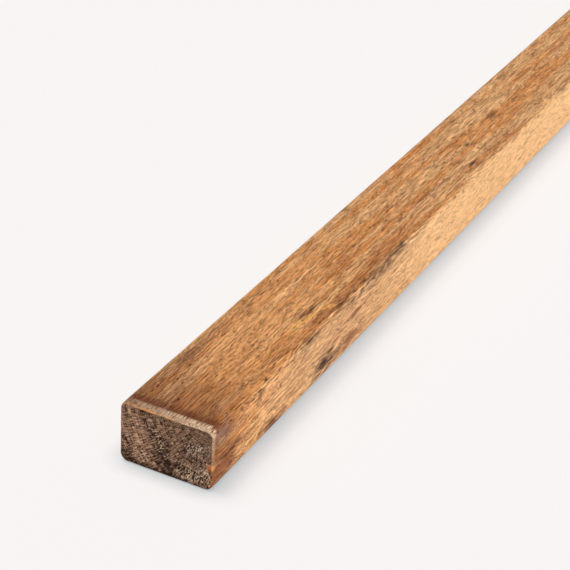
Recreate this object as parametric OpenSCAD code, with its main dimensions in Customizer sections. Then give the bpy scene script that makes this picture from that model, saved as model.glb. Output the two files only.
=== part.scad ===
// Hardwood beam: one length of planed timber with rounded long edges and eased sawn ends.
// Millimetres. +X runs along the grain, +Y across the broad face and +Z up.
// The origin is the middle of the underside, so the beam lies on the plane z = 0.

/* [Section] */
// Width of the broad face that the beam lies on
beam_width = 60; // [40:1:120]
// Height of the narrow face
beam_height = 40; // [30:1:100]
// Radius planed on the four long edges
edge_radius = 5; // [1:0.5:12]

/* [Length] */
// Length along the grain, from one sawn end to the other
beam_length = 1800; // [600:100:6000]
// Size of the 45 degree bevel that breaks the sharp edge of each sawn end
end_bevel = 1; // [0.5:0.25:6]

/* [Hidden] */
// Colour of the planed faces
wood_colour = "#C08A58";
// Segments of a full circle, for the rounded edges
$fn = 64;

// What a rounded edge loses from a square corner, with that corner at the origin.
module corner_waste() {
    difference() {
        square(2 * edge_radius, center = true);
        translate([-edge_radius, -edge_radius]) circle(edge_radius);
        translate([-2 * edge_radius, -edge_radius]) square([edge_radius, 2 * edge_radius]);
        translate([-edge_radius, -2 * edge_radius]) square([2 * edge_radius, edge_radius]);
    }
}

// The planed section, width along x and height along y, resting on the line y = 0.
module planed_section() {
    translate([0, beam_height / 2])
        difference() {
            square([beam_width, beam_height], center = true);
            for (side = [0, 1], level = [0, 1])
                mirror([side, 0]) mirror([0, level])
                    translate([beam_width / 2, beam_height / 2]) corner_waste();
        }
}

// A face of the beam as long as the stock and as deep as given, with its four corners bevelled.
module bevelled_face(depth) {
    half_length = beam_length / 2;
    half_depth = depth / 2;
    polygon([
        for (end = [-1, 1])
            each [
                [end * (half_length - end_bevel), end * half_depth],
                [end * half_length, end * (half_depth - end_bevel)],
                [end * half_length, -end * (half_depth - end_bevel)],
                [end * (half_length - end_bevel), -end * half_depth]
            ]
    ]);
}

// The whole beam: the planed section run along the grain, with the bevels of its ends cut in both views.
module beam() {
    color(wood_colour)
        intersection() {
            rotate([90, 0, 90])
                linear_extrude(beam_length, center = true) planed_section();
            linear_extrude(beam_height) bevelled_face(beam_width);
            translate([0, 0, beam_height / 2])
                rotate([90, 0, 0])
                    linear_extrude(beam_width, center = true) bevelled_face(beam_height);
        }
}

beam();
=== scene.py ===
"""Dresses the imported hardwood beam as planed, weathered timber and lights it on a pale studio floor.

The beam is one mesh with the relief of planed faces, worn edges at the cuts and rough-sawn ends. Where
stains and dry bands lie is worked out with the mesh, and the two finishes draw the grain itself.
"""

import logging
import math
from dataclasses import dataclass
from enum import Enum

import bpy
import numpy as np
from mathutils import Matrix, Vector, noise


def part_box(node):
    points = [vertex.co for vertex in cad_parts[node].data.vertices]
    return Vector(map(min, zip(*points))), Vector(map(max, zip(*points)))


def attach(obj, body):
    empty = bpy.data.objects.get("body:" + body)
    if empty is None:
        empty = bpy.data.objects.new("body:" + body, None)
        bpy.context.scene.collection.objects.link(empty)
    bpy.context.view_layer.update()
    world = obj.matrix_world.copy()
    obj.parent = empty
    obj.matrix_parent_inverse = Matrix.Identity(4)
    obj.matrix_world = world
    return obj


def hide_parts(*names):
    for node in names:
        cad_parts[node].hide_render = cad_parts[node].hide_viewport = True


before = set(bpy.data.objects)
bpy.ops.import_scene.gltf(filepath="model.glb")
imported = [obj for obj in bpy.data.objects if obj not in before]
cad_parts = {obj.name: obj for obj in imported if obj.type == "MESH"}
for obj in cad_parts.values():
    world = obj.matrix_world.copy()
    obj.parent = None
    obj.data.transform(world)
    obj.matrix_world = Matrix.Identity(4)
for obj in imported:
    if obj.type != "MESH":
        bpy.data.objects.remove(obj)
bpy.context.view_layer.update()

MM = 0.001
# Numbers of the two inputs of a Mix node in its colour form, then in its vector form.
MIX_FIRST, MIX_SECOND = 6, 7
MIX_FIRST_VECTOR, MIX_SECOND_VECTOR = 4, 5
# The middle of the three values that a noise texture gives.
NOISE_MIDDLE = (0.5, 0.5, 0.5)
# Where the pith of the tree lay beside the beam: its place across, with + to the left, and its height
# above the underside, in millimetres. The growth rings of the ends run round it.
PITH_ACROSS, PITH_LEVEL = -35.0, 50.0
# How fast a patch of a sawn end fades: to 6 % at its own length or breadth from its middle.
PATCH_FADE = 2.8
# Points this close to an end, in millimetres, lie on it.
TOUCH = 1e-6

Colour = tuple[float, float, float, float]
Millimetres = tuple[float, float, float]
Span = tuple[float, float]
Quads = list[tuple[int, int, int, int]]
Inputs = dict[str | int, object]
Tree = bpy.types.NodeTree
Node = bpy.types.Node
Socket = bpy.types.NodeSocket
# What an input is linked to: a socket, or a node, which stands for its first output in use.
Link = Node | Socket

log = logging.getLogger("hardwood_beam")


def linear(hex_colour: str) -> Colour:
    """Turns an sRGB hex colour into linear light, with the constants of that standard.

    Args:
        hex_colour: A colour such as "#C08A58".

    Returns:
        Linear red, green and blue, and an alpha of 1.
    """
    parts = [int(hex_colour[i:i + 2], 16) / 255 for i in (1, 3, 5)]
    red, green, blue = [c / 12.92 if c <= 0.04045 else ((c + 0.055) / 1.055) ** 2.4 for c in parts]
    return red, green, blue, 1.0


def wire(tree: Tree, node: Node, inputs: Inputs) -> None:
    """Links or sets inputs of a node.

    Args:
        tree: The node tree that holds the node.
        node: The node.
        inputs: For each input, by name or number, what to link it to or a value to set.
    """
    for key, value in inputs.items():
        if isinstance(value, Node):
            value = next(output for output in value.outputs if output.enabled)
        if isinstance(value, Socket):
            tree.links.new(value, node.inputs[key])
        else:
            node.inputs[key].default_value = value


def add_node(tree: Tree, kind: str, settings: dict[str, object], inputs: Inputs) -> Node:
    """Adds one node with its settings and links.

    Args:
        tree: The node tree that takes the node.
        kind: The node's type name without its "ShaderNode" start.
        settings: Values for the node's own properties.
        inputs: For each input, by name or number, what to link it to or a value to set.

    Returns:
        The new node.
    """
    node = tree.nodes.new("ShaderNode" + kind)
    for name, value in settings.items():
        setattr(node, name, value)
    wire(tree, node, inputs)
    return node


def start_material(name: str) -> tuple[bpy.types.Material, Tree, Node]:
    """Starts a material.

    Args:
        name: The material's name.

    Returns:
        The material, its node tree and the shader in it.
    """
    made = bpy.data.materials.new(name)
    made.use_nodes = True
    return made, made.node_tree, made.node_tree.nodes["Principled BSDF"]


def smooth_step(values: np.ndarray, span: Span) -> np.ndarray:
    """Eases values from 0 at the start of a span to 1 at its end.

    Args:
        values: The numbers to ease.
        span: Where the result is 0 and where it is 1, which may be the lower of the two.

    Returns:
        Numbers from 0 to 1.
    """
    start, end = span
    t = np.clip((values - start) / (end - start), 0.0, 1.0)
    return t * t * (3 - 2 * t)


@dataclass(frozen=True)
class Cloud:
    """Smooth noise in space.

    Attributes:
        patch: The size of one patch of the noise along each axis, in millimetres.
        octaves: How many finer layers are added.
        shift: How far along the noise it starts, so that two clouds differ.
        fall: How fast the finer layers weaken.
        ratio: How many times finer each layer is than the one before it.
    """

    patch: Millimetres
    octaves: int
    shift: float
    fall: float = 1.0
    ratio: float = 2.0

    def at(self, points: np.ndarray) -> np.ndarray:
        """The noise at points in space.

        Args:
            points: Points in millimetres, one to a row.

        Returns:
            One value for each point, mostly from -1 to 1.
        """
        scaled = points / np.array(self.patch) + self.shift
        return np.array([noise.fractal(point, self.fall, self.ratio, self.octaves) for point in scaled])

    def share_at(self, points: np.ndarray) -> np.ndarray:
        """The noise at points in space, moved so that it runs mostly from 0 to 1."""
        return 0.5 + 0.5 * self.at(points)


class Zone(Enum):
    """What a vertex attribute of the beam says about the wood there, or about light and shade painted on it.

    The shade and the tear of the ends may pass 1 or fall below 0. The others run from 0 to 1.
    """

    END_STAIN = "end_stain"
    DRY_BAND = "dry_band"
    # A painted highlight on the lit lip of the cut, and a fresh chip.
    FRESH_EDGE_AND_HIGHLIGHT = "fresh_edge_and_highlight"
    # Paler right side: part wood bleached by the sun, part painted sheen.
    BLEACH_AND_SHEEN = "bleach_and_sheen"
    # Further paling of the right side: part sun fading, part painted sheen over its grain.
    FADE_AND_SHEEN = "fade_and_sheen"
    END_SHADE = "end_shade"
    END_TEAR = "end_tear"

    def read(self, tree: Tree) -> Socket:
        """The socket with this zone's value, in a material."""
        return add_node(tree, "Attribute", {"attribute_name": self.value}, {}).outputs["Fac"]


class Tint(Enum):
    """The kinds of old mark on the planed wood; the yellow kind also paints one highlight."""

    BROWN = "brown"
    DARK = "dark"
    FRESH = "fresh"
    YELLOW = "yellow"
    GREY = "grey"


@dataclass(frozen=True)
class Grain:
    """A pattern of streaks or specks in the wood, drawn where smooth noise passes a threshold.

    Attributes:
        length: Length of one cell of the noise along its own run, in millimetres.
        width: Width of one cell. The streaks lie about three cells apart.
        low: Noise value at which a streak starts to show.
        high: Noise value at which it shows in full.
        detail: How many finer layers the noise has.
        weight: How much each finer layer counts beside the one before it.
    """

    length: float
    width: float
    low: float
    high: float
    detail: float = 0.0
    weight: float = 0.6

    def along_fibres(self, tree: Tree, fibres: Link) -> Link:
        """The pattern on a long face, for coordinates whose first runs along the fibres."""
        return self._draw(tree, fibres, (self.length, self.width, self.width), 0.0)

    def across_fibres(self, tree: Tree, place: Link, depth: float) -> Link:
        """The pattern on a sawn end, for coordinates whose first runs into the wood."""
        return self._draw(tree, place, (depth, self.length, self.width), self.length + self.width)

    def _draw(self, tree: Tree, place: Link, cell: Millimetres, shift: float) -> Link:
        """Draws the pattern.

        Args:
            tree: The material's node tree.
            place: Coordinates in metres.
            cell: The size of one cell along each of them.
            shift: How far along the noise it starts, in metres, so that two patterns differ.

        Returns:
            The pattern, from 0 to 1.
        """
        cells = add_node(tree, "Mapping", {"vector_type": "TEXTURE"}, {
            "Vector": place, "Location": (0.0, shift, shift), "Scale": tuple(s * MM for s in cell)})
        texture = add_node(tree, "TexNoise", {}, {
            "Vector": cells, "Scale": 1.0,
            "Detail": self.detail, "Roughness": self.weight})
        return add_node(tree, "MapRange", {"interpolation_type": "SMOOTHSTEP"}, {
            "Value": texture.outputs["Fac"], "From Min": self.low, "From Max": self.high})


@dataclass(frozen=True)
class Coat:
    """A colour laid over the colours before it.

    Attributes:
        colour: The colour, as an sRGB hex value or as a link.
        where: The link that says where it lies.
        most: How much of it shows where it lies in full.
        span: The link's values at which it starts to show and lies in full.
    """

    colour: str | Link
    where: Link
    most: float = 1.0
    span: Span = (0.0, 1.0)

    def over(self, tree: Tree, under: Colour | Link) -> Link:
        """Lays the coat over a colour.

        Args:
            tree: The material's node tree.
            under: The colour below it.

        Returns:
            The mixed colour.
        """
        colour = linear(self.colour) if isinstance(self.colour, str) else self.colour
        share = add_node(tree, "MapRange", {}, {
            "Value": self.where, "From Min": self.span[0], "From Max": self.span[1], "To Max": self.most})
        return add_node(tree, "Mix", {"data_type": "RGBA"}, {
            0: share, MIX_FIRST: under, MIX_SECOND: colour})


@dataclass(frozen=True)
class Mark:
    """A patch of marked wood, or of painted light: a lump in space that shows where it meets the surface.

    Attributes:
        along: Distance of its middle from the near end, in millimetres.
        across: Place of its middle across the broad face, with + to the left.
        level: Height of its middle above the underside.
        size: Its full length, width and height.
        strength: How much of the wood's own colour it hides, from 0 to 1.
        tint: What kind of mark it is.
        lean: How far its length turns to the left and upwards, in degrees.
    """

    along: float
    across: float
    level: float
    size: Millimetres
    strength: float
    tint: Tint = Tint.DARK
    lean: tuple[float, float] = (0.0, 0.0)


# Old marks of the stretch that the photograph shows, those of the top and its edges first and then those of
# the right side: rubbed and darker patches, yellow streaks, smudges, pin knots and one short check, and one
# painted highlight along the top's left edge.
MARKS = (
    Mark(95, 4, 40, (150, 48, 8), 0.85, Tint.FRESH),
    Mark(60, -22, 40, (90, 18, 8), 0.6, Tint.FRESH),
    Mark(65, 22, 40, (70, 13, 12), 0.48, Tint.BROWN),
    Mark(100, 27, 38, (130, 12, 14), 0.45, Tint.BROWN),
    Mark(60, 21.5, 40, (44, 9, 8), 0.4),
    Mark(131, 20, 40, (9, 3, 4), 0.6),
    # A painted highlight: the lit orange line along the top's left edge.
    Mark(112, 27.8, 39, (140, 4, 5), 0.8, Tint.YELLOW),
    Mark(200, -24, 40, (240, 14, 6), 0.3, Tint.BROWN),
    Mark(144, -24, 40, (44, 12, 5), 0.55, Tint.BROWN),
    Mark(137, -17.0, 40, (34, 4.6, 6), 1.0, Tint.YELLOW, (-4, 0)),
    Mark(153, -20.5, 40, (16, 4.6, 6), 0.8, Tint.YELLOW, (-45, 0)),
    Mark(143.5, -14.8, 40, (26, 2.2, 6), 1.0, Tint.DARK, (-5, 0)),
    Mark(167, -26.5, 40, (40, 3.2, 5), 0.8),
    Mark(222, -28.3, 39.5, (104, 5.0, 6), 0.75),
    Mark(243, -27.5, 40, (46, 4.0, 5), 0.95),
    # A browner patch in the middle of the top; what darkened it is not known.
    Mark(217, -2, 40, (30, 9, 4), 0.4, Tint.BROWN),
    Mark(346, -13.5, 40, (90, 2.0, 4), 0.8, Tint.BROWN, (-4, 0)),
    Mark(393, -19.3, 40, (11, 4.0, 4), 0.9),
    Mark(421, -4, 40, (8, 3.5, 4), 0.9),
    Mark(445, -21, 40, (90, 11, 4), 0.3, Tint.BROWN),
    Mark(480, -1, 40, (14, 6, 4), 0.6),
    Mark(562, -28, 39, (14, 6, 5), 0.7),
    Mark(21, -30, 17.8, (36, 4, 2.8), 0.75, Tint.DARK),
    Mark(15, -30, 11, (34, 5, 20), 0.75, Tint.BROWN),
    Mark(8, -29, 35, (18, 5, 14), 0.3),
    Mark(9, -29.6, 35, (22, 5, 12), 0.8, Tint.GREY),
    Mark(54, -30, 33, (8, 4, 9), 0.6),
    Mark(70, -29.5, 6, (28, 6, 6), 0.8),
    Mark(116, -29.5, 38, (26, 5, 8), 0.7),
    Mark(136, -30, 11.5, (26, 5, 12), 1.0),
    Mark(165, -30, 24, (150, 6, 46), 0.2, Tint.BROWN),
    Mark(173, -30, 10.5, (34, 5, 9), 0.85, Tint.BROWN),
    Mark(180, -30, 26, (60, 4, 3.2), 0.85, Tint.BROWN, (0, 10)),
    Mark(226, -30, 36.5, (14, 4, 8), 0.7),
    Mark(256, -30, 13, (6, 4, 4), 0.7),
    Mark(261, -30, 8, (5, 4, 4), 0.6),
    Mark(222, -30, 37, (100, 4, 8), 0.5),
)


@dataclass(frozen=True)
class PlanedHardwood:
    """Red-brown tropical hardwood, planed and then left to dry in the open.

    A planed face is satin. Its cut vessels show as short dark dashes, growth layers as long soft bands
    of gold and brown, and the wood near an end is stained dark, with a dry pale band at the cut.
    """

    # Gold and pale growth layers, and the brown of older wood. A share is how much of a colour shows.
    gold: str = "#F0A056"
    pale: str = "#FFC586"
    brown: str = "#9C562A"
    brown_share: float = 0.3
    # Fine grain: dark lines, long threads of the same colour, open vessels and bright flecks.
    line: str = "#7E3C18"
    line_share: float = 0.22
    thread_share: float = 0.42
    pore: str = "#4A210C"
    pore_share: float = 0.96
    glint: str = "#FFD49B"
    glint_share: float = 0.6
    # Weather and painted light: dark stain, the dry band's fibres and the gaps between them, the cut's fresh
    # edge with a painted highlight on its lip, and a paler right side, part bleached wood and part painted
    # sheen, with a painted haze over its grain. A fray is how much of an edge the grain takes.
    stain: str = "#602E19"
    stain_share: float = 0.97
    stain_fray: float = 0.25
    dry: str = "#F0D2B0"
    dry_gap: str = "#84583E"
    dry_fray: float = 0.5
    fresh_edge_and_highlight: str = "#D29A62"
    bleached_and_sheen: str = "#FFCD93"
    bleach_and_sheen_share: float = 0.85
    sheen_haze_share: float = 0.3
    # Old marks, and in the yellow colour also one painted highlight.
    dark_mark: str = "#472E2A"
    brown_mark: str = "#8A4E32"
    fresh_mark: str = "#F0AE70"
    yellow_streak_and_highlight: str = "#FFC06A"
    grey_mark: str = "#9C7A6C"
    marks: tuple[Mark, ...] = MARKS
    # Where a mark starts to show and where it shows in full, in half sizes from its middle. Dark lines of
    # the grain pull it this much further out, and the wood between them holds it back by this much.
    mark_span: Span = (1.1, 0.35)
    line_pull: float = 0.8
    line_hold: float = 0.2
    # How far the fibres run off the beam's own axis, in degrees, seen from above and from the side.
    drift: float = -1.0
    rise: float = 2.5
    # Growth layers, clouds of older wood, then the fine grain: lines, threads and the breaks in them,
    # vessels and the gate that cuts them into dashes, flecks, and the hatching of the dry band. Vessels are
    # about 0.2 mm wide and would not show in the render, so fine grain is drawn two to three times as wide.
    band_grain: Grain = Grain(120.0, 5.5, 0.37, 0.63)
    patch_grain: Grain = Grain(30.0, 8.0, 0.47, 0.7, 1.0)
    line_grain: Grain = Grain(12.0, 0.3, 0.49, 0.56)
    thread_grain: Grain = Grain(90.0, 0.4, 0.5, 0.58)
    break_grain: Grain = Grain(40.0, 1.6, 0.43, 0.55)
    pore_grain: Grain = Grain(14.0, 0.34, 0.49, 0.54)
    gate_grain: Grain = Grain(2.8, 0.34, 0.47, 0.53)
    fleck_grain: Grain = Grain(9.0, 0.32, 0.46, 0.38)
    hatch_grain: Grain = Grain(5.0, 0.25, 0.42, 0.54)
    # The fibres lie nearly flat in each face, so a streak reaches this many times as deep as it is wide.
    flatness: float = 4.0
    # The narrow faces are cut along the rays, where the same fibres show as shorter streaks. A face is taken
    # as broad where the upright part of its direction is above the given one.
    narrow_stretch: float = 0.75
    broad_facing: float = 0.7
    # How the fibres wander: the size of one bend, how far it reaches to the side, and its finer layers.
    bend_size: Millimetres = (170.0, 35.0, 35.0)
    bend_reach: float = 1.2
    bend_detail: float = 1.0
    # How the edges of the old marks wander.
    smudge_size: Millimetres = (9.0, 3.0, 3.0)
    smudge_reach: Millimetres = (16.0, 4.0, 4.0)
    smudge_detail: float = 2.0
    # Satin, and duller where the wood is older. The relief of the lines and vessels is in millimetres.
    roughness: Span = (0.52, 0.72)
    specular: float = 0.08
    bump_strength: float = 0.6
    bump_depth: float = 0.25

    def material(self) -> bpy.types.Material:
        """Builds the material.

        Returns:
            The node-based material.
        """
        made, tree, shader = start_material("planed_hardwood")
        fibres = self._fibres(tree)
        grains = (
            self.band_grain, self.patch_grain, self.line_grain, self.thread_grain, self.break_grain,
            self.pore_grain, self.gate_grain, self.fleck_grain, self.hatch_grain)
        band, patch, line, run, gaps, pore, gate, fleck, hatch = (
            grain.along_fibres(tree, fibres) for grain in grains)
        thread = add_node(tree, "Math", {"operation": "MULTIPLY"}, {0: run, 1: gaps})
        dash = add_node(tree, "Math", {"operation": "MULTIPLY"}, {0: pore, 1: gate})
        marked = self._marked(tree, line)
        # Painted sheen with sun fading, on the far stretches of the right side.
        sun = Zone.FADE_AND_SHEEN.read(tree)
        dry = Coat(self.dry, hatch).over(tree, linear(self.dry_gap))
        colour: Colour | Link = linear(self.gold)
        for coat in (
            Coat(self.pale, band),
            Coat(self.brown, patch, self.brown_share),
            # Paler right side, part bleached wood and part painted sheen.
            Coat(self.bleached_and_sheen, Zone.BLEACH_AND_SHEEN.read(tree), self.bleach_and_sheen_share),
            Coat(self.glint, fleck, self.glint_share),
            Coat(self.line, line, self.line_share),
            Coat(self.line, thread, self.thread_share),
            Coat(self.fresh_mark, marked[Tint.FRESH]),
            # Painted sheen with sun fading, on the far stretches of the right side.
            Coat(self.bleached_and_sheen, sun),
            Coat(self.stain, self._ragged(tree, Zone.END_STAIN, line, self.stain_fray), self.stain_share),
            Coat(self.brown_mark, marked[Tint.BROWN]),
            Coat(self.yellow_streak_and_highlight, marked[Tint.YELLOW]),
            Coat(self.grey_mark, marked[Tint.GREY]),
            Coat(self.line, line, self.line_share),
            Coat(self.dark_mark, marked[Tint.DARK]),
            Coat(self.pore, dash, self.pore_share),
            # A painted haze of sheen over the grain of the right side.
            Coat(self.bleached_and_sheen, sun, self.sheen_haze_share),
            Coat(dry, self._ragged(tree, Zone.DRY_BAND, hatch, self.dry_fray)),
            # The painted highlight of the lit lip at the cut, and a fresh chip.
            Coat(self.fresh_edge_and_highlight, Zone.FRESH_EDGE_AND_HIGHLIGHT.read(tree)),
        ):
            colour = coat.over(tree, colour)
        gold_wood, old_wood = self.roughness
        rough = add_node(tree, "MapRange", {}, {"Value": patch, "To Min": gold_wood, "To Max": old_wood})
        depth = add_node(tree, "Math", {"operation": "ADD"}, {0: line, 1: dash})
        bump = add_node(tree, "Bump", {"invert": True}, {
            "Strength": self.bump_strength, "Distance": self.bump_depth * MM, "Height": depth})
        wire(tree, shader, {
            "Base Color": colour, "Roughness": rough, "Normal": bump, "Specular IOR Level": self.specular})
        return made

    def _fibres(self, tree: Tree) -> Link:
        """Coordinates along the fibres, which wander a little and lie nearly flat in each face.

        Args:
            tree: The material's node tree.

        Returns:
            The coordinates, in metres.
        """
        surface = add_node(tree, "TexCoord", {}, {})
        place = surface.outputs["Object"]
        slow = add_node(tree, "Mapping", {"vector_type": "TEXTURE"}, {
            "Vector": place, "Scale": tuple(s * MM for s in self.bend_size)})
        wander = add_node(tree, "TexNoise", {}, {
            "Vector": slow, "Scale": 1.0, "Detail": self.bend_detail})
        centred = add_node(tree, "VectorMath", {"operation": "SUBTRACT"}, {
            0: wander.outputs["Color"], 1: NOISE_MIDDLE})
        reach = 2 * self.bend_reach * MM
        sideways = add_node(tree, "VectorMath", {"operation": "MULTIPLY"}, {
            0: centred, 1: (0.0, reach, reach)})
        bent = add_node(tree, "VectorMath", {"operation": "ADD"}, {0: place, 1: sideways})
        turned = add_node(tree, "Mapping", {"vector_type": "TEXTURE"}, {
            "Vector": bent,
            "Rotation": (0.0, -math.radians(self.rise), math.radians(self.drift))})
        facing = add_node(tree, "SeparateXYZ", {}, {"Vector": surface.outputs["Normal"]})
        upright = add_node(tree, "Math", {"operation": "ABSOLUTE"}, {0: facing.outputs["Z"]})
        broad = add_node(tree, "Math", {"operation": "GREATER_THAN"}, {
            0: upright, 1: self.broad_facing})
        flat = add_node(tree, "Mix", {"data_type": "VECTOR"}, {
            0: broad,
            MIX_FIRST_VECTOR: (1 / self.narrow_stretch, 1 / self.flatness, 1.0),
            MIX_SECOND_VECTOR: (1.0, 1.0, 1 / self.flatness)})
        return add_node(tree, "VectorMath", {"operation": "MULTIPLY"}, {0: turned, 1: flat})

    def _ragged(self, tree: Tree, zone: Zone, pattern: Link, fray: float) -> Link:
        """A zone whose edge follows the grain.

        Args:
            tree: The material's node tree.
            zone: The zone to roughen.
            pattern: The grain pattern, from 0 to 1.
            fray: How much of the zone's edge the pattern takes.

        Returns:
            The roughened zone, from 0 to 1.
        """
        raised = add_node(tree, "Math", {"operation": "MULTIPLY_ADD"}, {
            0: pattern, 1: fray, 2: 1 - fray / 2})
        return add_node(tree, "Math", {"operation": "MULTIPLY", "use_clamp": True}, {
            0: zone.read(tree), 1: raised})

    def _marked(self, tree: Tree, pattern: Link) -> dict[Tint, Link]:
        """Where the old marks of each kind lie, the painted highlight among them, with edges that follow the
        grain.

        Args:
            tree: The material's node tree.
            pattern: The grain pattern, from 0 to 1.

        Returns:
            For each kind of mark, its strength, from 0 to 1.
        """
        near_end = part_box("beam")[0].x
        place = add_node(tree, "TexCoord", {}, {}).outputs["Object"]
        cells = add_node(tree, "Mapping", {"vector_type": "TEXTURE"}, {
            "Vector": place, "Scale": tuple(s * MM for s in self.smudge_size)})
        smudge = add_node(tree, "TexNoise", {}, {
            "Vector": cells, "Scale": 1.0, "Detail": self.smudge_detail})
        centred = add_node(tree, "VectorMath", {"operation": "SUBTRACT"}, {
            0: smudge.outputs["Color"], 1: NOISE_MIDDLE})
        moved = add_node(tree, "VectorMath", {"operation": "MULTIPLY_ADD"}, {
            0: centred, 1: tuple(s * MM for s in self.smudge_reach), 2: place})
        edge = add_node(tree, "Math", {"operation": "MULTIPLY_ADD"}, {
            0: pattern, 1: -self.line_pull, 2: self.line_hold})
        outer, inner = self.mark_span
        strongest: dict[Tint, Link] = {}
        for mark in self.marks:
            left, up = (math.radians(angle) for angle in mark.lean)
            inside = add_node(tree, "Mapping", {"vector_type": "TEXTURE"}, {
                "Vector": moved,
                "Location": (near_end + mark.along * MM, mark.across * MM, mark.level * MM),
                "Rotation": (0.0, -up, left), "Scale": tuple(s * MM / 2 for s in mark.size)})
            reach = add_node(tree, "VectorMath", {"operation": "LENGTH"}, {0: inside})
            ragged = add_node(tree, "Math", {"operation": "ADD"}, {0: reach, 1: edge})
            shade = add_node(tree, "MapRange", {"interpolation_type": "SMOOTHSTEP"}, {
                "Value": ragged, "From Min": outer, "From Max": inner,
                "To Max": mark.strength})
            strongest[mark.tint] = add_node(tree, "Math", {"operation": "MAXIMUM"}, {
                0: strongest.get(mark.tint, 0.0), 1: shade})
        return strongest


@dataclass(frozen=True)
class SawnEndGrain:
    """End grain of the same hardwood, rough from the saw and greyed by weather.

    The saw leaves torn fibres that look pale and open vessels that look black, so the end is a mottled
    grey-brown, with growth layers as rings round the pith.
    """

    # Dark and light wood, open vessels, torn fibres and the wood of a fresh chip.
    dark: str = "#2C190E"
    light: str = "#C09678"
    pit: str = "#080504"
    fibre: str = "#F0D6BA"
    fresh: str = "#C8783F"
    # Distance from the pith at which the widths below hold, and how far the rings wander from true circles.
    ring_radius: float = 45.0
    wander_size: float = 12.0
    wander_reach: float = 0.7
    wander_detail: float = 1.0
    # Mottled wood, rays, growth layers and bundles of torn fibres: along the rays first, then along the
    # layers. They are finer on the real wood, and drawn this coarse so that they show in the render.
    mottle_grain: Grain = Grain(1.8, 2.4, 0.36, 0.64, 1.0, 0.5)
    ray_grain: Grain = Grain(5.0, 0.42, 0.44, 0.6)
    layer_grain: Grain = Grain(0.42, 7.0, 0.42, 0.58)
    bundle_size: tuple[float, float] = (1.2, 0.6)
    speck_depth: float = 20.0
    # How much each of them changes the tone. Sound wood takes the first part of that, and torn wood more.
    mottle_change: float = 0.25
    ray_change: float = 1.05
    layer_change: float = -0.92
    bundle_change: float = 0.6
    sound_part: float = 0.6
    torn_part: float = 0.8
    # A bundle turns into torn fibres or into open vessels where its chance value, which rises on torn wood,
    # passes the span.
    torn_chance: float = 0.4
    chance_span: Span = (0.92, 1.2)
    chance_share: float = 0.9
    # Dull all over. The relief is in millimetres.
    roughness: float = 0.88
    specular: float = 0.1
    bump_strength: float = 0.8
    bump_depth: float = 0.6

    def material(self) -> bpy.types.Material:
        """Builds the material.

        Returns:
            The node-based material.
        """
        made, tree, shader = start_material("sawn_end_grain")
        place = self._round_the_pith(tree)
        bundle = self._bundles(tree, place)
        tear = Zone.END_TEAR.read(tree)
        part = add_node(tree, "Math", {"operation": "MULTIPLY_ADD"}, {
            0: tear, 1: self.torn_part, 2: self.sound_part})
        tone = Zone.END_SHADE.read(tree)
        for pattern, most in (
            (self.mottle_grain.across_fibres(tree, place, self.speck_depth), self.mottle_change),
            (self.ray_grain.across_fibres(tree, place, self.speck_depth), self.ray_change),
            (self.layer_grain.across_fibres(tree, place, self.speck_depth), self.layer_change),
            (bundle["Red"], self.bundle_change),
        ):
            change = add_node(tree, "Math", {"operation": "MULTIPLY_ADD"}, {
                0: pattern, 1: most, 2: -most / 2})
            tone = add_node(tree, "Math", {"operation": "MULTIPLY_ADD"}, {0: change, 1: part, 2: tone})
        lit = add_node(tree, "Math", {"operation": "MAXIMUM"}, {0: tone, 1: 0.0})
        colour = add_node(tree, "Mix", {"data_type": "RGBA", "clamp_factor": False}, {
            0: lit, MIX_FIRST: linear(self.dark),
            MIX_SECOND: linear(self.light)})
        for chance, over in ((bundle["Green"], self.fibre), (bundle["Blue"], self.pit)):
            raised = add_node(tree, "Math", {"operation": "MULTIPLY_ADD"}, {
                0: tear, 1: self.torn_chance, 2: chance})
            colour = Coat(over, raised, self.chance_share, self.chance_span).over(tree, colour)
        colour = Coat(self.fresh, Zone.FRESH_EDGE_AND_HIGHLIGHT.read(tree)).over(tree, colour)
        bump = add_node(tree, "Bump", {}, {
            "Strength": self.bump_strength, "Distance": self.bump_depth * MM, "Height": tone})
        wire(tree, shader, {
            "Base Color": colour, "Normal": bump,
            "Roughness": self.roughness, "Specular IOR Level": self.specular})
        return made

    def _round_the_pith(self, tree: Tree) -> Link:
        """Coordinates that follow the growth rings.

        Args:
            tree: The material's node tree.

        Returns:
            The depth, the distance from the pith and the way round it, in metres.
        """
        place = add_node(tree, "TexCoord", {}, {}).outputs["Object"]
        wander = add_node(tree, "TexNoise", {}, {
            "Vector": place, "Scale": 1 / (self.wander_size * MM), "Detail": self.wander_detail})
        reach = 2 * self.wander_reach * MM
        moved = add_node(tree, "VectorMath", {"operation": "MULTIPLY_ADD"}, {
            0: wander.outputs["Color"], 1: (0.0, reach, reach), 2: place})
        off = add_node(tree, "VectorMath", {"operation": "SUBTRACT"}, {
            0: moved,
            1: (0.0, PITH_ACROSS * MM + reach / 2, PITH_LEVEL * MM + reach / 2)})
        parts = add_node(tree, "SeparateXYZ", {}, {"Vector": off})
        spoke = add_node(tree, "VectorMath", {"operation": "MULTIPLY"}, {0: off, 1: (0.0, 1.0, 1.0)})
        radius = add_node(tree, "VectorMath", {"operation": "LENGTH"}, {0: spoke})
        turn = add_node(tree, "Math", {"operation": "ARCTAN2"}, {
            0: parts.outputs["Z"], 1: parts.outputs["Y"]})
        arc = add_node(tree, "Math", {"operation": "MULTIPLY"}, {0: turn, 1: self.ring_radius * MM})
        return add_node(tree, "CombineXYZ", {}, {"X": parts.outputs["X"], "Y": radius, "Z": arc})

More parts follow.
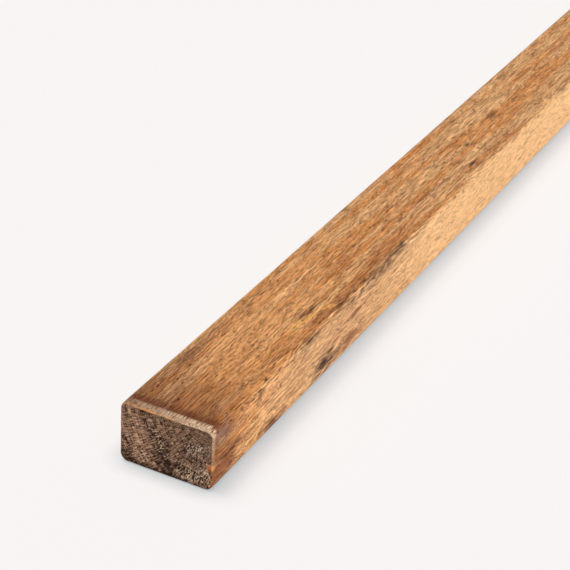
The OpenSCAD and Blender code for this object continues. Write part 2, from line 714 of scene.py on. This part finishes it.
    def _bundles(self, tree: Tree, place: Link) -> bpy.types.NodeOutputs:
        """Torn bundles of fibres, each with three chance values of its own.

        Args:
            tree: The material's node tree.
            place: Coordinates in metres.

        Returns:
            The sockets Red, Green and Blue, each with a value from 0 to 1.
        """
        along, across = self.bundle_size
        scaled = add_node(tree, "Mapping", {"vector_type": "TEXTURE"}, {
            "Vector": place, "Scale": (self.speck_depth * MM, along * MM, across * MM)})
        cells = add_node(tree, "TexVoronoi", {}, {"Vector": scaled, "Scale": 1.0})
        return add_node(tree, "SeparateColor", {}, {"Color": cells.outputs["Color"]}).outputs


@dataclass(frozen=True)
class EndPatch:
    """A patch of a sawn end that is lighter, darker, rougher or smoother than the rest.

    Attributes:
        right: Distance of its middle from the end's left edge, in millimetres.
        down: Distance of its middle from the end's top edge.
        length: Its length.
        breadth: Its breadth.
        slant: How far its length falls to the right, in degrees.
        shade: What it adds to the tone, from -1 to 1.
        tear: What it adds to the strength of the specks.
    """

    right: float
    down: float
    length: float
    breadth: float
    slant: float
    shade: float
    tear: float = 0.0

    def share(self, right: np.ndarray, down: np.ndarray) -> np.ndarray:
        """How much of the patch lies at each point.

        Args:
            right: Distances from the left edge.
            down: Distances from the top edge.

        Returns:
            Values from 0 to 1.
        """
        turn = math.radians(self.slant)
        off_right, off_down = right - self.right, down - self.down
        along = off_right * math.cos(turn) + off_down * math.sin(turn)
        beside = off_down * math.cos(turn) - off_right * math.sin(turn)
        return np.exp(-PATCH_FADE * ((along / self.length) ** 2 + (beside / self.breadth) ** 2))


# Growth layers, torn places and the dark foot of the sawn end, which is dark wood with painted contact
# shade.
END_PATCHES = (
    EndPatch(10, 17, 26, 13, 65, 0.3, -0.1),
    EndPatch(15.5, 32, 10, 5, -15, 0.28, 0.5),
    EndPatch(3.2, 28, 16, 1.0, 88, -0.4),
    EndPatch(20.5, 12, 20, 2.4, 61, -0.3),
    EndPatch(24.5, 15, 16, 2.0, 57, 0.28, 0.5),
    EndPatch(27.5, 22, 15, 3.6, 62, -0.36, 0.4),
    EndPatch(26.8, 16.3, 2.4, 1.8, 0, -0.9),
    EndPatch(29.3, 19.3, 2.6, 1.6, 40, -0.8),
    EndPatch(27.8, 26, 2.6, 1.8, 0, -0.9),
    EndPatch(32, 33, 18, 12, 30, -0.5, -0.2),
    EndPatch(15.5, 2.4, 4, 1.6, 0, -0.4, -0.3),
    EndPatch(5, 36, 14, 7, 20, -0.3, -0.2),
    EndPatch(38, 9, 22, 10, 0, 0.04, -0.1),
    EndPatch(46.5, 17.5, 12, 5, 60, -0.34, 0.5),
    EndPatch(51, 13.5, 9, 3.5, -25, 0.16, 0.9),
    EndPatch(54.5, 19, 12, 5, 60, -0.2, 0.2),
    EndPatch(48, 33, 20, 8, -10, 0.06, 0.8),
    EndPatch(56, 29, 12, 6, 80, 0.2, 0.2),
    EndPatch(1, 20, 40, 2.4, 90, 0.04, -0.5),
    # The dark foot: dark wood with painted contact shade along the bottom edge.
    EndPatch(28, 40, 50, 3.4, 0, -0.9, -0.3),
    EndPatch(30, 0, 60, 6, 0, 0.0, -0.5),
)


@dataclass(frozen=True)
class Spots:
    """Where points of the beam's mesh lie, in millimetres.

    Attributes:
        points: The points, as distance from the near end, place across with + to the left, and level.
        normals: The outward direction at each point of the long faces, and zeros on the ends.
        length: The beam's length.
        width: The beam's width.
        height: The beam's height.
    """

    points: np.ndarray
    normals: np.ndarray
    length: float
    width: float
    height: float

    def to_end(self) -> np.ndarray:
        """Distances from the nearest end."""
        return np.minimum(self.points[:, 0], self.length - self.points[:, 0])

    def right(self) -> np.ndarray:
        """Distances from the left edge."""
        return self.width / 2 - self.points[:, 1]

    def down(self) -> np.ndarray:
        """Distances from the top."""
        return self.height - self.points[:, 2]


@dataclass(frozen=True)
class Weathering:
    """What rain, sun and the saw did to the wood, and painted light and shade, as zones for the two
    finishes.

    Sizes are in millimetres. Spans of distances run from where a thing starts to where it is full, and
    most of them are measured from the nearest end.
    """

    # How far a point's direction is turned to the top, to the right side, and away from the left side, whose
    # edge at the cut keeps no dry band, so that it shows painted shade.
    top_facing: Span = (0.2, 0.8)
    right_facing: Span = (-0.3, -0.95)
    left_shade_facing: Span = (0.6, -0.2)
    # Stain of the broad faces: its strength at the cut, where it has faded out and how far that wanders, and
    # what it loses towards the right edge. A darker strip just behind the dry band is added to it.
    stain_start: float = 0.92
    stain_reach: float = 77.0
    stain_wander: float = 12.0
    stain_cloud: Cloud = Cloud((45.0, 7.0, 7.0), 3, 31.0)
    strip_darkening: float = 0.2
    strip_span: Span = (13.0, 8.0)
    right_loss: float = 0.13
    right_span: Span = (10.0, 14.0)
    # Stain of the narrow faces, which stops sooner, and its darker rim at the cut.
    side_stain: float = 0.58
    side_span: Span = (38.0, 18.0)
    side_wander: float = 8.0
    rim_stain: float = 0.16
    rim_span: Span = (7.0, 3.0)
    # Dry band: its width on a narrow face, what a broad face adds, how far it wanders and its soft edge.
    dry_width: float = 1.4
    dry_broad: float = 4.0
    dry_wander: float = 0.2
    dry_cloud: Cloud = Cloud((8.0, 2.0, 2.0), 2, 41.0)
    dry_edge: Span = (1.1, -0.9)
    # How pale it is: at the top's left edge, how much more at its right edge, and at the side's upper edge.
    dry_left: float = 0.22
    dry_rise: float = 0.74
    dry_side: float = 0.66
    # Painted highlight of the lit bevel: a broken lip along the cut, on the left part of the top. And one
    # chip of fresh wood low at the right.
    lip_share: float = 0.85
    lip_depth: Span = (1.8, 0.9)
    lip_right: Span = (46.0, 22.0)
    lip_breaks: Span = (-0.5, 0.3)
    lip_cloud: Cloud = Cloud((20.0, 2.5, 2.5), 2, 61.0)
    chip_down: float = 24.0
    chip_size: tuple[float, float] = (2.4, 1.8)
    chip_right: Span = (55.0, 57.5)
    # Paler right side, part bleached wood and part painted sheen, and two stretches further along painted
    # paler still, part sun fading and part painted sheen.
    bleach_and_sheen_span: Span = (6.0, 115.0)
    fade_and_sheen_stretches: tuple[tuple[float, Span], ...] = ((0.75, (150.0, 350.0)), (0.2, (420.0, 620.0)))
    # Sawn ends: their tone, from 0 for dark to 1 for light, the growth rings, and how torn they are.
    end_tone: float = 0.4
    ring_change: float = 0.08
    ring_pitch: float = 6.0
    ring_wander: float = 2.4
    ring_cloud: Cloud = Cloud((60.0, 9.0, 9.0), 3, 51.0)
    end_tear: float = 0.1
    tear_limits: Span = (-0.4, 1.0)
    patches: tuple[EndPatch, ...] = END_PATCHES

    def zones(self, spots: Spots) -> dict[Zone, np.ndarray]:
        """Works out where the wood is stained, dry, fresh and bleached, and where light and shade are
        painted.

        Args:
            spots: All points of the mesh.

        Returns:
            For each zone, one value for each point.
        """
        over = smooth_step(spots.normals[:, 2], self.top_facing)
        to_end = spots.to_end()
        # The right side is painted paler: part bleached wood, part painted sheen.
        bleach_and_sheen = smooth_step(spots.normals[:, 1], self.right_facing) * smooth_step(to_end, self.bleach_and_sheen_span)
        tone, tear = self._sawn(spots)
        return {
            Zone.END_STAIN: np.clip(self._stain(spots), 0.0, 1.0),
            Zone.DRY_BAND: np.clip(self._dry(spots, over), 0.0, 1.0),
            Zone.FRESH_EDGE_AND_HIGHLIGHT: np.clip(self._fresh_and_highlight(spots, over), 0.0, 1.0),
            Zone.BLEACH_AND_SHEEN: bleach_and_sheen,
            Zone.FADE_AND_SHEEN: bleach_and_sheen * sum(most * smooth_step(to_end, span) for most, span in self.fade_and_sheen_stretches),
            Zone.END_SHADE: tone,
            Zone.END_TEAR: tear,
        }

    def _stain(self, spots: Spots) -> np.ndarray:
        """How dark the stain near the ends is.

        Args:
            spots: All points of the mesh.

        Returns:
            One value for each point.
        """
        to_end = spots.to_end()
        broad = np.abs(spots.normals[:, 2])
        drift = self.stain_cloud.at(spots.points)
        reach = self.stain_reach + self.stain_wander * drift
        fading = np.clip(self.stain_start - to_end / reach, 0.0, 1.0)
        fading += self.strip_darkening * smooth_step(to_end, self.strip_span)
        fading -= self.right_loss * spots.right() / spots.width * smooth_step(to_end, self.right_span)
        held = self.side_stain * smooth_step(to_end - self.side_wander * drift, self.side_span)
        held += self.rim_stain * smooth_step(to_end, self.rim_span)
        return broad * fading + (1 - broad) * held

    def _dry(self, spots: Spots, over: np.ndarray) -> np.ndarray:
        """How pale the dry band at the cut is.

        Args:
            spots: All points of the mesh.
            over: How far each point belongs to the top.

        Returns:
            One value for each point.
        """
        broad = np.abs(spots.normals[:, 2])
        band = self.dry_width + self.dry_broad * broad + self.dry_wander * self.dry_cloud.at(spots.points)
        # Faces turned to the left get no dry band: painted shade at that edge of the cut.
        off_left_shade = smooth_step(spots.normals[:, 1], self.left_shade_facing)
        pale = over * (self.dry_left + self.dry_rise * spots.right() / spots.width)
        pale += (1 - over) * off_left_shade * np.clip(self.dry_side - spots.down() / spots.height, 0.0, 1.0)
        return smooth_step(spots.to_end() - band, self.dry_edge) * pale

    def _fresh_and_highlight(self, spots: Spots, over: np.ndarray) -> np.ndarray:
        """Where the cut's lip is painted as a lit highlight, and where a fresh chip shows at the cut.

        Args:
            spots: All points of the mesh.
            over: How far each point belongs to the top.

        Returns:
            One value for each point.
        """
        to_end = spots.to_end()
        right = spots.right()
        broken = smooth_step(self.lip_cloud.at(spots.points), self.lip_breaks)
        # The lip is a painted highlight of the lit bevel.
        lip = broken * smooth_step(to_end, self.lip_depth) * over * smooth_step(right, self.lip_right)
        along, tall = self.chip_size
        chip = np.exp(-((to_end / along) ** 2 + ((spots.down() - self.chip_down) / tall) ** 2))
        return self.lip_share * lip + chip * smooth_step(right, self.chip_right)

    def _sawn(self, spots: Spots) -> tuple[np.ndarray, np.ndarray]:
        """How light and how torn the sawn ends are: rings round the pith, and the patches.

        Args:
            spots: All points of the mesh.

        Returns:
            For each point the tone and the strength of the specks.
        """
        points = spots.points
        radius = np.hypot(points[:, 1] - PITH_ACROSS, points[:, 2] - PITH_LEVEL)
        wobble = self.ring_wander * self.ring_cloud.at(points)
        tone = self.end_tone + self.ring_change * np.sin((radius + wobble) * 2 * math.pi / self.ring_pitch)
        tear = np.full(len(points), self.end_tear)
        for patch in self.patches:
            share = patch.share(spots.right() + wobble, spots.down())
            tone += patch.shade * share
            tear += patch.tear * share
        return tone, np.clip(tear, *self.tear_limits)


@dataclass
class HardwoodBeam:
    """One length of planed hardwood with rounded long edges and rough-sawn ends.

    All sizes are in millimetres. Points hold the distance from the near end, the place across the broad
    face with + to the left, and the height above the underside.
    """

    length: float
    width: float
    height: float
    edge_radius: float = 5.0
    # The bevel at the cut, and how much of it is left on average and changes from place to place.
    end_bevel: float = 1.0
    bevel_share: float = 0.9
    bevel_change: float = 0.12
    bevel_cloud: Cloud = Cloud((40.0, 4.0, 4.0), 2, 23.1)
    # Mesh steps round the section and along the beam, where they grow from the ends to the middle.
    broad_steps: int = 80
    narrow_steps: int = 48
    half_arc_steps: int = 6
    end_step: float = 0.8
    step_growth: float = 1.12
    long_step: float = 7.6
    # Edges that turn by more than this many degrees stay sharp.
    sharp_angle: float = 50.0
    # Relief: slow waves of the planed faces and ridges of raised grain.
    wave_depth: float = 0.22
    wave_cloud: Cloud = Cloud((160.0, 24.0, 24.0), 2, 3.7)
    ridge_depth: float = 0.13
    ridge_cloud: Cloud = Cloud((90.0, 2.6, 2.6), 2, 11.3)
    # Roughness of the sawn ends: torn places and the upright lines of the saw, with their shares of it.
    saw_depth: float = 0.35
    torn_share: float = 0.7
    torn_cloud: Cloud = Cloud((50.0, 1.5, 1.5), 2, 5.0)
    kerf_share: float = 0.3
    kerf_cloud: Cloud = Cloud((50.0, 2.2, 40.0), 1, 8.0)
    # The last millimetres before each end, where the faces are worn down a little.
    end_drop: float = 0.15
    end_drop_reach: float = 6.0
    weathering: Weathering = Weathering()

    @classmethod
    def from_frame(cls, node: str) -> "HardwoodBeam":
        """Takes the beam's length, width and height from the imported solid.

        Args:
            node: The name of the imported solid.

        Returns:
            A beam of that size.
        """
        low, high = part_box(node)
        length, width, height = (high - low) / MM
        return cls(length, width, height)

    def stations(self) -> np.ndarray:
        """Distances from the near end at which the section is drawn.

        Returns:
            Rising distances, close together at both ends.
        """
        half = self.length / 2
        steps = [self.end_step]
        while sum(steps) < half:
            steps.append(min(steps[-1] * self.step_growth, self.long_step))
        first_half = np.concatenate(([0.0], np.cumsum(steps)))
        first_half *= half / first_half[-1]
        return np.concatenate((first_half, self.length - first_half[-2::-1]))

    def section(self) -> tuple[np.ndarray, np.ndarray]:
        """The planed section, from the middle of one rounded edge round to it again.

        Returns:
            Points as across and level, and the outward direction at each.
        """
        half_broad = self.width / 2 - self.edge_radius
        half_narrow = self.height / 2 - self.edge_radius
        points, normals = [], []
        for side in range(4):
            flat_half, off = (half_broad, half_narrow) if side % 2 == 0 else (half_narrow, half_broad)
            steps = self.broad_steps if side % 2 == 0 else self.narrow_steps
            turn = math.radians(90 * side)
            facing = np.array(((math.cos(turn), math.sin(turn)), (-math.sin(turn), math.cos(turn))))
            arc = np.linspace(math.pi / 4, 0, self.half_arc_steps, endpoint=False)
            for sign, angles in ((-1, arc), (1, arc[::-1])):
                tilt = np.stack((sign * np.sin(angles), -np.cos(angles)), axis=1)
                centre = np.array((sign * flat_half, -off))
                if sign > 0:
                    run = np.linspace(-flat_half, flat_half, steps + 1)
                    flat = np.stack((run, np.full(steps + 1, -off - self.edge_radius)), axis=1)
                    points.append(flat @ facing)
                    normals.append(np.tile((0.0, -1.0), (steps + 1, 1)) @ facing)
                    tilt = tilt[:-1]
                points.append((centre + self.edge_radius * tilt) @ facing)
                normals.append(tilt @ facing)
        middle = np.array((0.0, self.height / 2))
        return np.concatenate(points) + middle, np.concatenate(normals)

    def build(self, name: str) -> bpy.types.Object:
        """Builds the beam's mesh with its relief and its zones.

        Args:
            name: The name of the new object.

        Returns:
            The object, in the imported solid's frame.
        """
        ring, outward = self.section()
        around = len(ring)
        stations = self.stations()
        skin = np.concatenate((
            np.repeat(stations, around)[:, None], np.tile(ring, (len(stations), 1))), axis=1)
        normals = np.concatenate((
            np.zeros((len(skin), 1)), np.tile(outward, (len(stations), 1))), axis=1)
        points = skin + normals * self._sink(skin)[:, None]
        faces = self._skin_faces(len(stations), around)
        cap_faces = []
        for at_far in (False, True):
            inner, quads = self._cap(points, around, len(stations) - 1 if at_far else 0, at_far)
            points = np.concatenate((points, inner))
            normals = np.concatenate((normals, np.zeros_like(inner)))
            cap_faces += quads
        points = self._saw(points)
        mesh = bpy.data.meshes.new(name)
        shift = np.array((-self.length / 2, 0.0, 0.0))
        mesh.from_pydata(((points + shift) * MM).tolist(), [], faces + cap_faces)
        end_slots = [0] * len(faces) + [1] * len(cap_faces)
        mesh.polygons.foreach_set("material_index", end_slots)
        mesh.polygons.foreach_set("use_smooth", [True] * len(end_slots))
        spots = Spots(points, normals, self.length, self.width, self.height)
        for zone, values in self.weathering.zones(spots).items():
            field = mesh.attributes.new(zone.value, "FLOAT", "POINT")
            field.data.foreach_set("value", values.astype(np.float32))
        mesh.set_sharp_from_angle(angle=math.radians(self.sharp_angle))
        mesh.validate()
        beam = bpy.data.objects.new(name, mesh)
        bpy.context.scene.collection.objects.link(beam)
        return beam

    def dress(self, beam: bpy.types.Object) -> None:
        """Gives the planed faces and the sawn ends their finishes.

        Args:
            beam: The object that build made.
        """
        for finish in (PlanedHardwood(), SawnEndGrain()):
            beam.data.materials.append(finish.material())

    def _sink(self, points: np.ndarray) -> np.ndarray:
        """How far the planed skin lies outside the true section, which is never above 0.

        Args:
            points: Points on the true section.

        Returns:
            One distance for each point, 0 or less.
        """
        to_end = np.minimum(points[:, 0], self.length - points[:, 0])
        waves = self.wave_depth * self.wave_cloud.share_at(points)
        ridges = self.ridge_depth * self.ridge_cloud.share_at(points)
        bevel = self.end_bevel * (self.bevel_share + self.bevel_change * self.bevel_cloud.at(points))
        worn = self.end_drop * smooth_step(to_end, (self.end_drop_reach, 0.0))
        return np.minimum(-waves - ridges, 0.0) - np.maximum(0.0, bevel - to_end) - worn

    def _skin_faces(self, stations: int, around: int) -> Quads:
        """The quads of the long faces.

        Args:
            stations: How many sections there are.
            around: How many points each has.

        Returns:
            Corner numbers, turned to face outwards.
        """
        quads = []
        for i in range(stations - 1):
            for j in range(around):
                k = (j + 1) % around
                quads.append((i * around + j, i * around + k, (i + 1) * around + k, (i + 1) * around + j))
        return quads

    def _cap(self, points: np.ndarray, around: int, station: int, at_far: bool) -> tuple[np.ndarray, Quads]:
        """Closes one end with a grid that meets the section point for point.

        Args:
            points: All points so far.
            around: How many points a section has.
            station: The number of the section that the grid closes.
            at_far: Whether this is the far end.

        Returns:
            The grid's inner points and its quads.
        """
        wide = self.broad_steps + 2 * self.half_arc_steps
        tall = self.narrow_steps + 2 * self.half_arc_steps
        number = np.zeros((wide + 1, tall + 1), dtype=int)
        start = station * around
        number[:, 0] = start + np.arange(wide + 1)
        number[wide, :] = start + wide + np.arange(tall + 1)
        number[:, tall] = start + wide + tall + np.arange(wide, -1, -1)
        number[0, :] = start + (2 * wide + tall + np.arange(tall, -1, -1)) % around
        number[1:-1, 1:-1] = len(points) + np.arange((wide - 1) * (tall - 1)).reshape(wide - 1, tall - 1)
        u = np.linspace(0, 1, wide + 1)[1:-1, None, None]
        v = np.linspace(0, 1, tall + 1)[None, 1:-1, None]
        low, high = points[number[1:-1, 0]][:, None], points[number[1:-1, -1]][:, None]
        left, right = points[number[0, 1:-1]][None], points[number[-1, 1:-1]][None]
        corners = points[number[[0, 0, -1, -1], [0, -1, 0, -1]]]
        bilinear = ((1 - u) * (1 - v) * corners[0] + (1 - u) * v * corners[1]
                    + u * (1 - v) * corners[2] + u * v * corners[3])
        inner = (1 - v) * low + v * high + (1 - u) * left + u * right - bilinear
        quads = []
        for a in range(wide):
            for b in range(tall):
                quad = (number[a, b], number[a + 1, b], number[a + 1, b + 1], number[a, b + 1])
                quads.append(tuple(int(n) for n in (quad if at_far else quad[::-1])))
        return inner.reshape(-1, 3), quads

    def _saw(self, points: np.ndarray) -> np.ndarray:
        """Roughens both sawn ends, only into the wood.

        Args:
            points: All points of the mesh.

        Returns:
            The points with the ends roughened.
        """
        on_near = points[:, 0] < TOUCH
        on_far = points[:, 0] > self.length - TOUCH
        sawn = points.copy()
        for chosen, inwards in ((on_near, 1.0), (on_far, -1.0)):
            torn = self.torn_share * self.torn_cloud.share_at(points[chosen])
            kerf = self.kerf_share * self.kerf_cloud.share_at(points[chosen])
            sawn[chosen, 0] += inwards * self.saw_depth * np.clip(torn + kerf, 0.0, 1.0)
        return sawn


@dataclass(frozen=True)
class SunLamp:
    """A soft lamp so far away that its light is even.

    Attributes:
        name: Its name in the scene.
        level: Its part of the light on a level surface.
        height: Its height above the floor, in degrees.
        heading: The heading of its light, in degrees from the beam's own direction.
        spread: How wide it looks from the floor, in degrees.
        colour: The colour of its light.
        shadow: Whether it casts a shadow.
    """

    name: str
    level: float
    height: float
    heading: float
    spread: float
    colour: str
    shadow: bool = True

    def hang(self) -> None:
        """Hangs the lamp in the scene."""
        lamp = bpy.data.lights.new(self.name, "SUN")
        lamp.energy = math.pi * self.level / math.sin(math.radians(self.height))
        lamp.angle = math.radians(self.spread)
        lamp.color = linear(self.colour)[:3]
        lamp.use_shadow = self.shadow
        holder = bpy.data.objects.new(self.name, lamp)
        tilt = Matrix.Rotation(math.radians(self.height - 90), 4, "Y")
        holder.matrix_world = Matrix.Rotation(math.radians(self.heading), 4, "Z") @ tilt
        bpy.context.scene.collection.objects.link(holder)


@dataclass(frozen=True)
class Studio:
    """A pale floor, soft light and the camera at the photograph's view."""

    # Matt paper, which shows no gloss, and half the floor's side in metres.
    paper: str = "#F7F5F4"
    floor_half: float = 40.0
    # How much of the floor's own colour the camera sees without light, which softens the shadow. That part
    # turns to a painted contact shadow close to the beam, within the given reach in millimetres.
    paper_share: float = 0.75
    painted_contact_shadow: str = "#9AA9B0"
    painted_shadow_reach: float = 14.0
    # The parts of light on a level surface add up to about 1, so that colours render as written.
    sky: float = 0.39
    sky_colour: str = "#E4F1FF"
    suns: tuple[SunLamp, ...] = (
        SunLamp("key_lamp", 0.54, 70.0, 264.0, 24.0, "#FFF5EC"),
        SunLamp("side_lamp", 0.18, 14.0, 70.0, 30.0, "#FFF6EE", shadow=False),
    )
    # The camera, in millimetres from the middle of the near end's top edge, and its aim in degrees.
    camera_offset: Millimetres = (-682.9, -395.9, 537.7)
    heading: float = 25.759
    pitch: float = -29.785
    roll: float = 3.697
    lens: float = 110.13
    sensor: float = 36.0

    def floor(self) -> None:
        """Lays the floor under the beam."""
        mesh = bpy.data.meshes.new("floor")
        half = self.floor_half
        corners = [(-half, -half, 0), (half, -half, 0), (half, half, 0), (-half, half, 0)]
        mesh.from_pydata(corners, [], [(0, 1, 2, 3)])
        floor = bpy.data.objects.new("floor", mesh)
        bpy.context.scene.collection.objects.link(floor)
        made, tree, shader = start_material("paper_floor")
        wire(tree, shader, {"Base Color": linear(self.paper), "Roughness": 1.0, "Specular IOR Level": 0.0})
        # Painted shadow: the floor that the camera sees darkens to the contact colour close to the beam.
        open_sky = add_node(tree, "AmbientOcclusion", {}, {"Distance": self.painted_shadow_reach * MM})
        tone = add_node(tree, "Mix", {"data_type": "RGBA"}, {
            0: open_sky.outputs["AO"], MIX_FIRST: linear(self.painted_contact_shadow), MIX_SECOND: linear(self.paper)})
        glow = add_node(tree, "Emission", {}, {"Color": tone, "Strength": 1.0})
        share = add_node(tree, "Math", {"operation": "MULTIPLY"}, {0: self._seen(tree), 1: self.paper_share})
        both = add_node(tree, "MixShader", {}, {0: share, 1: shader, 2: glow})
        wire(tree, tree.nodes["Material Output"], {"Surface": both})
        mesh.materials.append(made)

    def lamps(self) -> None:
        """Hangs the lamps and sets the light of the surroundings."""
        for sun in self.suns:
            sun.hang()
        world = bpy.data.worlds.new("studio")
        world.use_nodes = True
        tree = world.node_tree
        tree.nodes.clear()
        light = add_node(tree, "Background", {}, {"Color": linear(self.sky_colour), "Strength": self.sky})
        paper = add_node(tree, "Background", {}, {"Color": linear(self.paper), "Strength": 1.0})
        both = add_node(tree, "MixShader", {}, {0: self._seen(tree), 1: light, 2: paper})
        add_node(tree, "OutputWorld", {}, {"Surface": both})
        bpy.context.scene.world = world

    def _seen(self, tree: Tree) -> Link:
        """Tells what the camera sees, also in gloss and through glass.

        Args:
            tree: The node tree that takes the nodes.

        Returns:
            1 for what the camera sees and 0 for the rest.
        """
        rays = add_node(tree, "LightPath", {}, {})
        seen = add_node(tree, "Math", {"operation": "MAXIMUM"}, {
            0: rays.outputs["Is Camera Ray"], 1: rays.outputs["Is Transmission Ray"]})
        return add_node(tree, "Math", {"operation": "MAXIMUM"}, {
            0: seen, 1: rays.outputs["Is Glossy Ray"]})

    def camera(self, near_top: Vector) -> None:
        """Sets up the camera.

        Args:
            near_top: The middle of the near end's top edge, in metres.
        """
        data = bpy.data.cameras.new("camera")
        data.lens = self.lens
        data.sensor_width = self.sensor
        camera = bpy.data.objects.new("camera", data)
        bpy.context.scene.collection.objects.link(camera)
        place = Matrix.Translation(near_top + Vector(self.camera_offset) * MM)
        turn = Matrix.Rotation(math.radians(self.heading - 90), 4, "Z")
        tip = Matrix.Rotation(math.radians(90 + self.pitch), 4, "X")
        lean = Matrix.Rotation(math.radians(self.roll), 4, "Z")
        camera.matrix_world = place @ turn @ tip @ lean
        bpy.context.scene.camera = camera


def main() -> None:
    """Builds the studio and the beam."""
    logging.basicConfig(level=logging.INFO, format="%(name)s: %(message)s")
    bpy.context.scene.view_settings.view_transform = "Standard"
    low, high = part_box("beam")
    studio = Studio()
    studio.camera(Vector((low.x, (low.y + high.y) / 2, high.z)))
    studio.floor()
    studio.lamps()
    log.info("studio ready")

    timber = HardwoodBeam.from_frame("beam")
    beam = timber.build("beam_timber")
    timber.dress(beam)
    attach(beam, "root")
    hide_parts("beam")
    log.info("%s: %d faces", beam.name, len(beam.data.polygons))


if __name__ == "__main__":
    main()
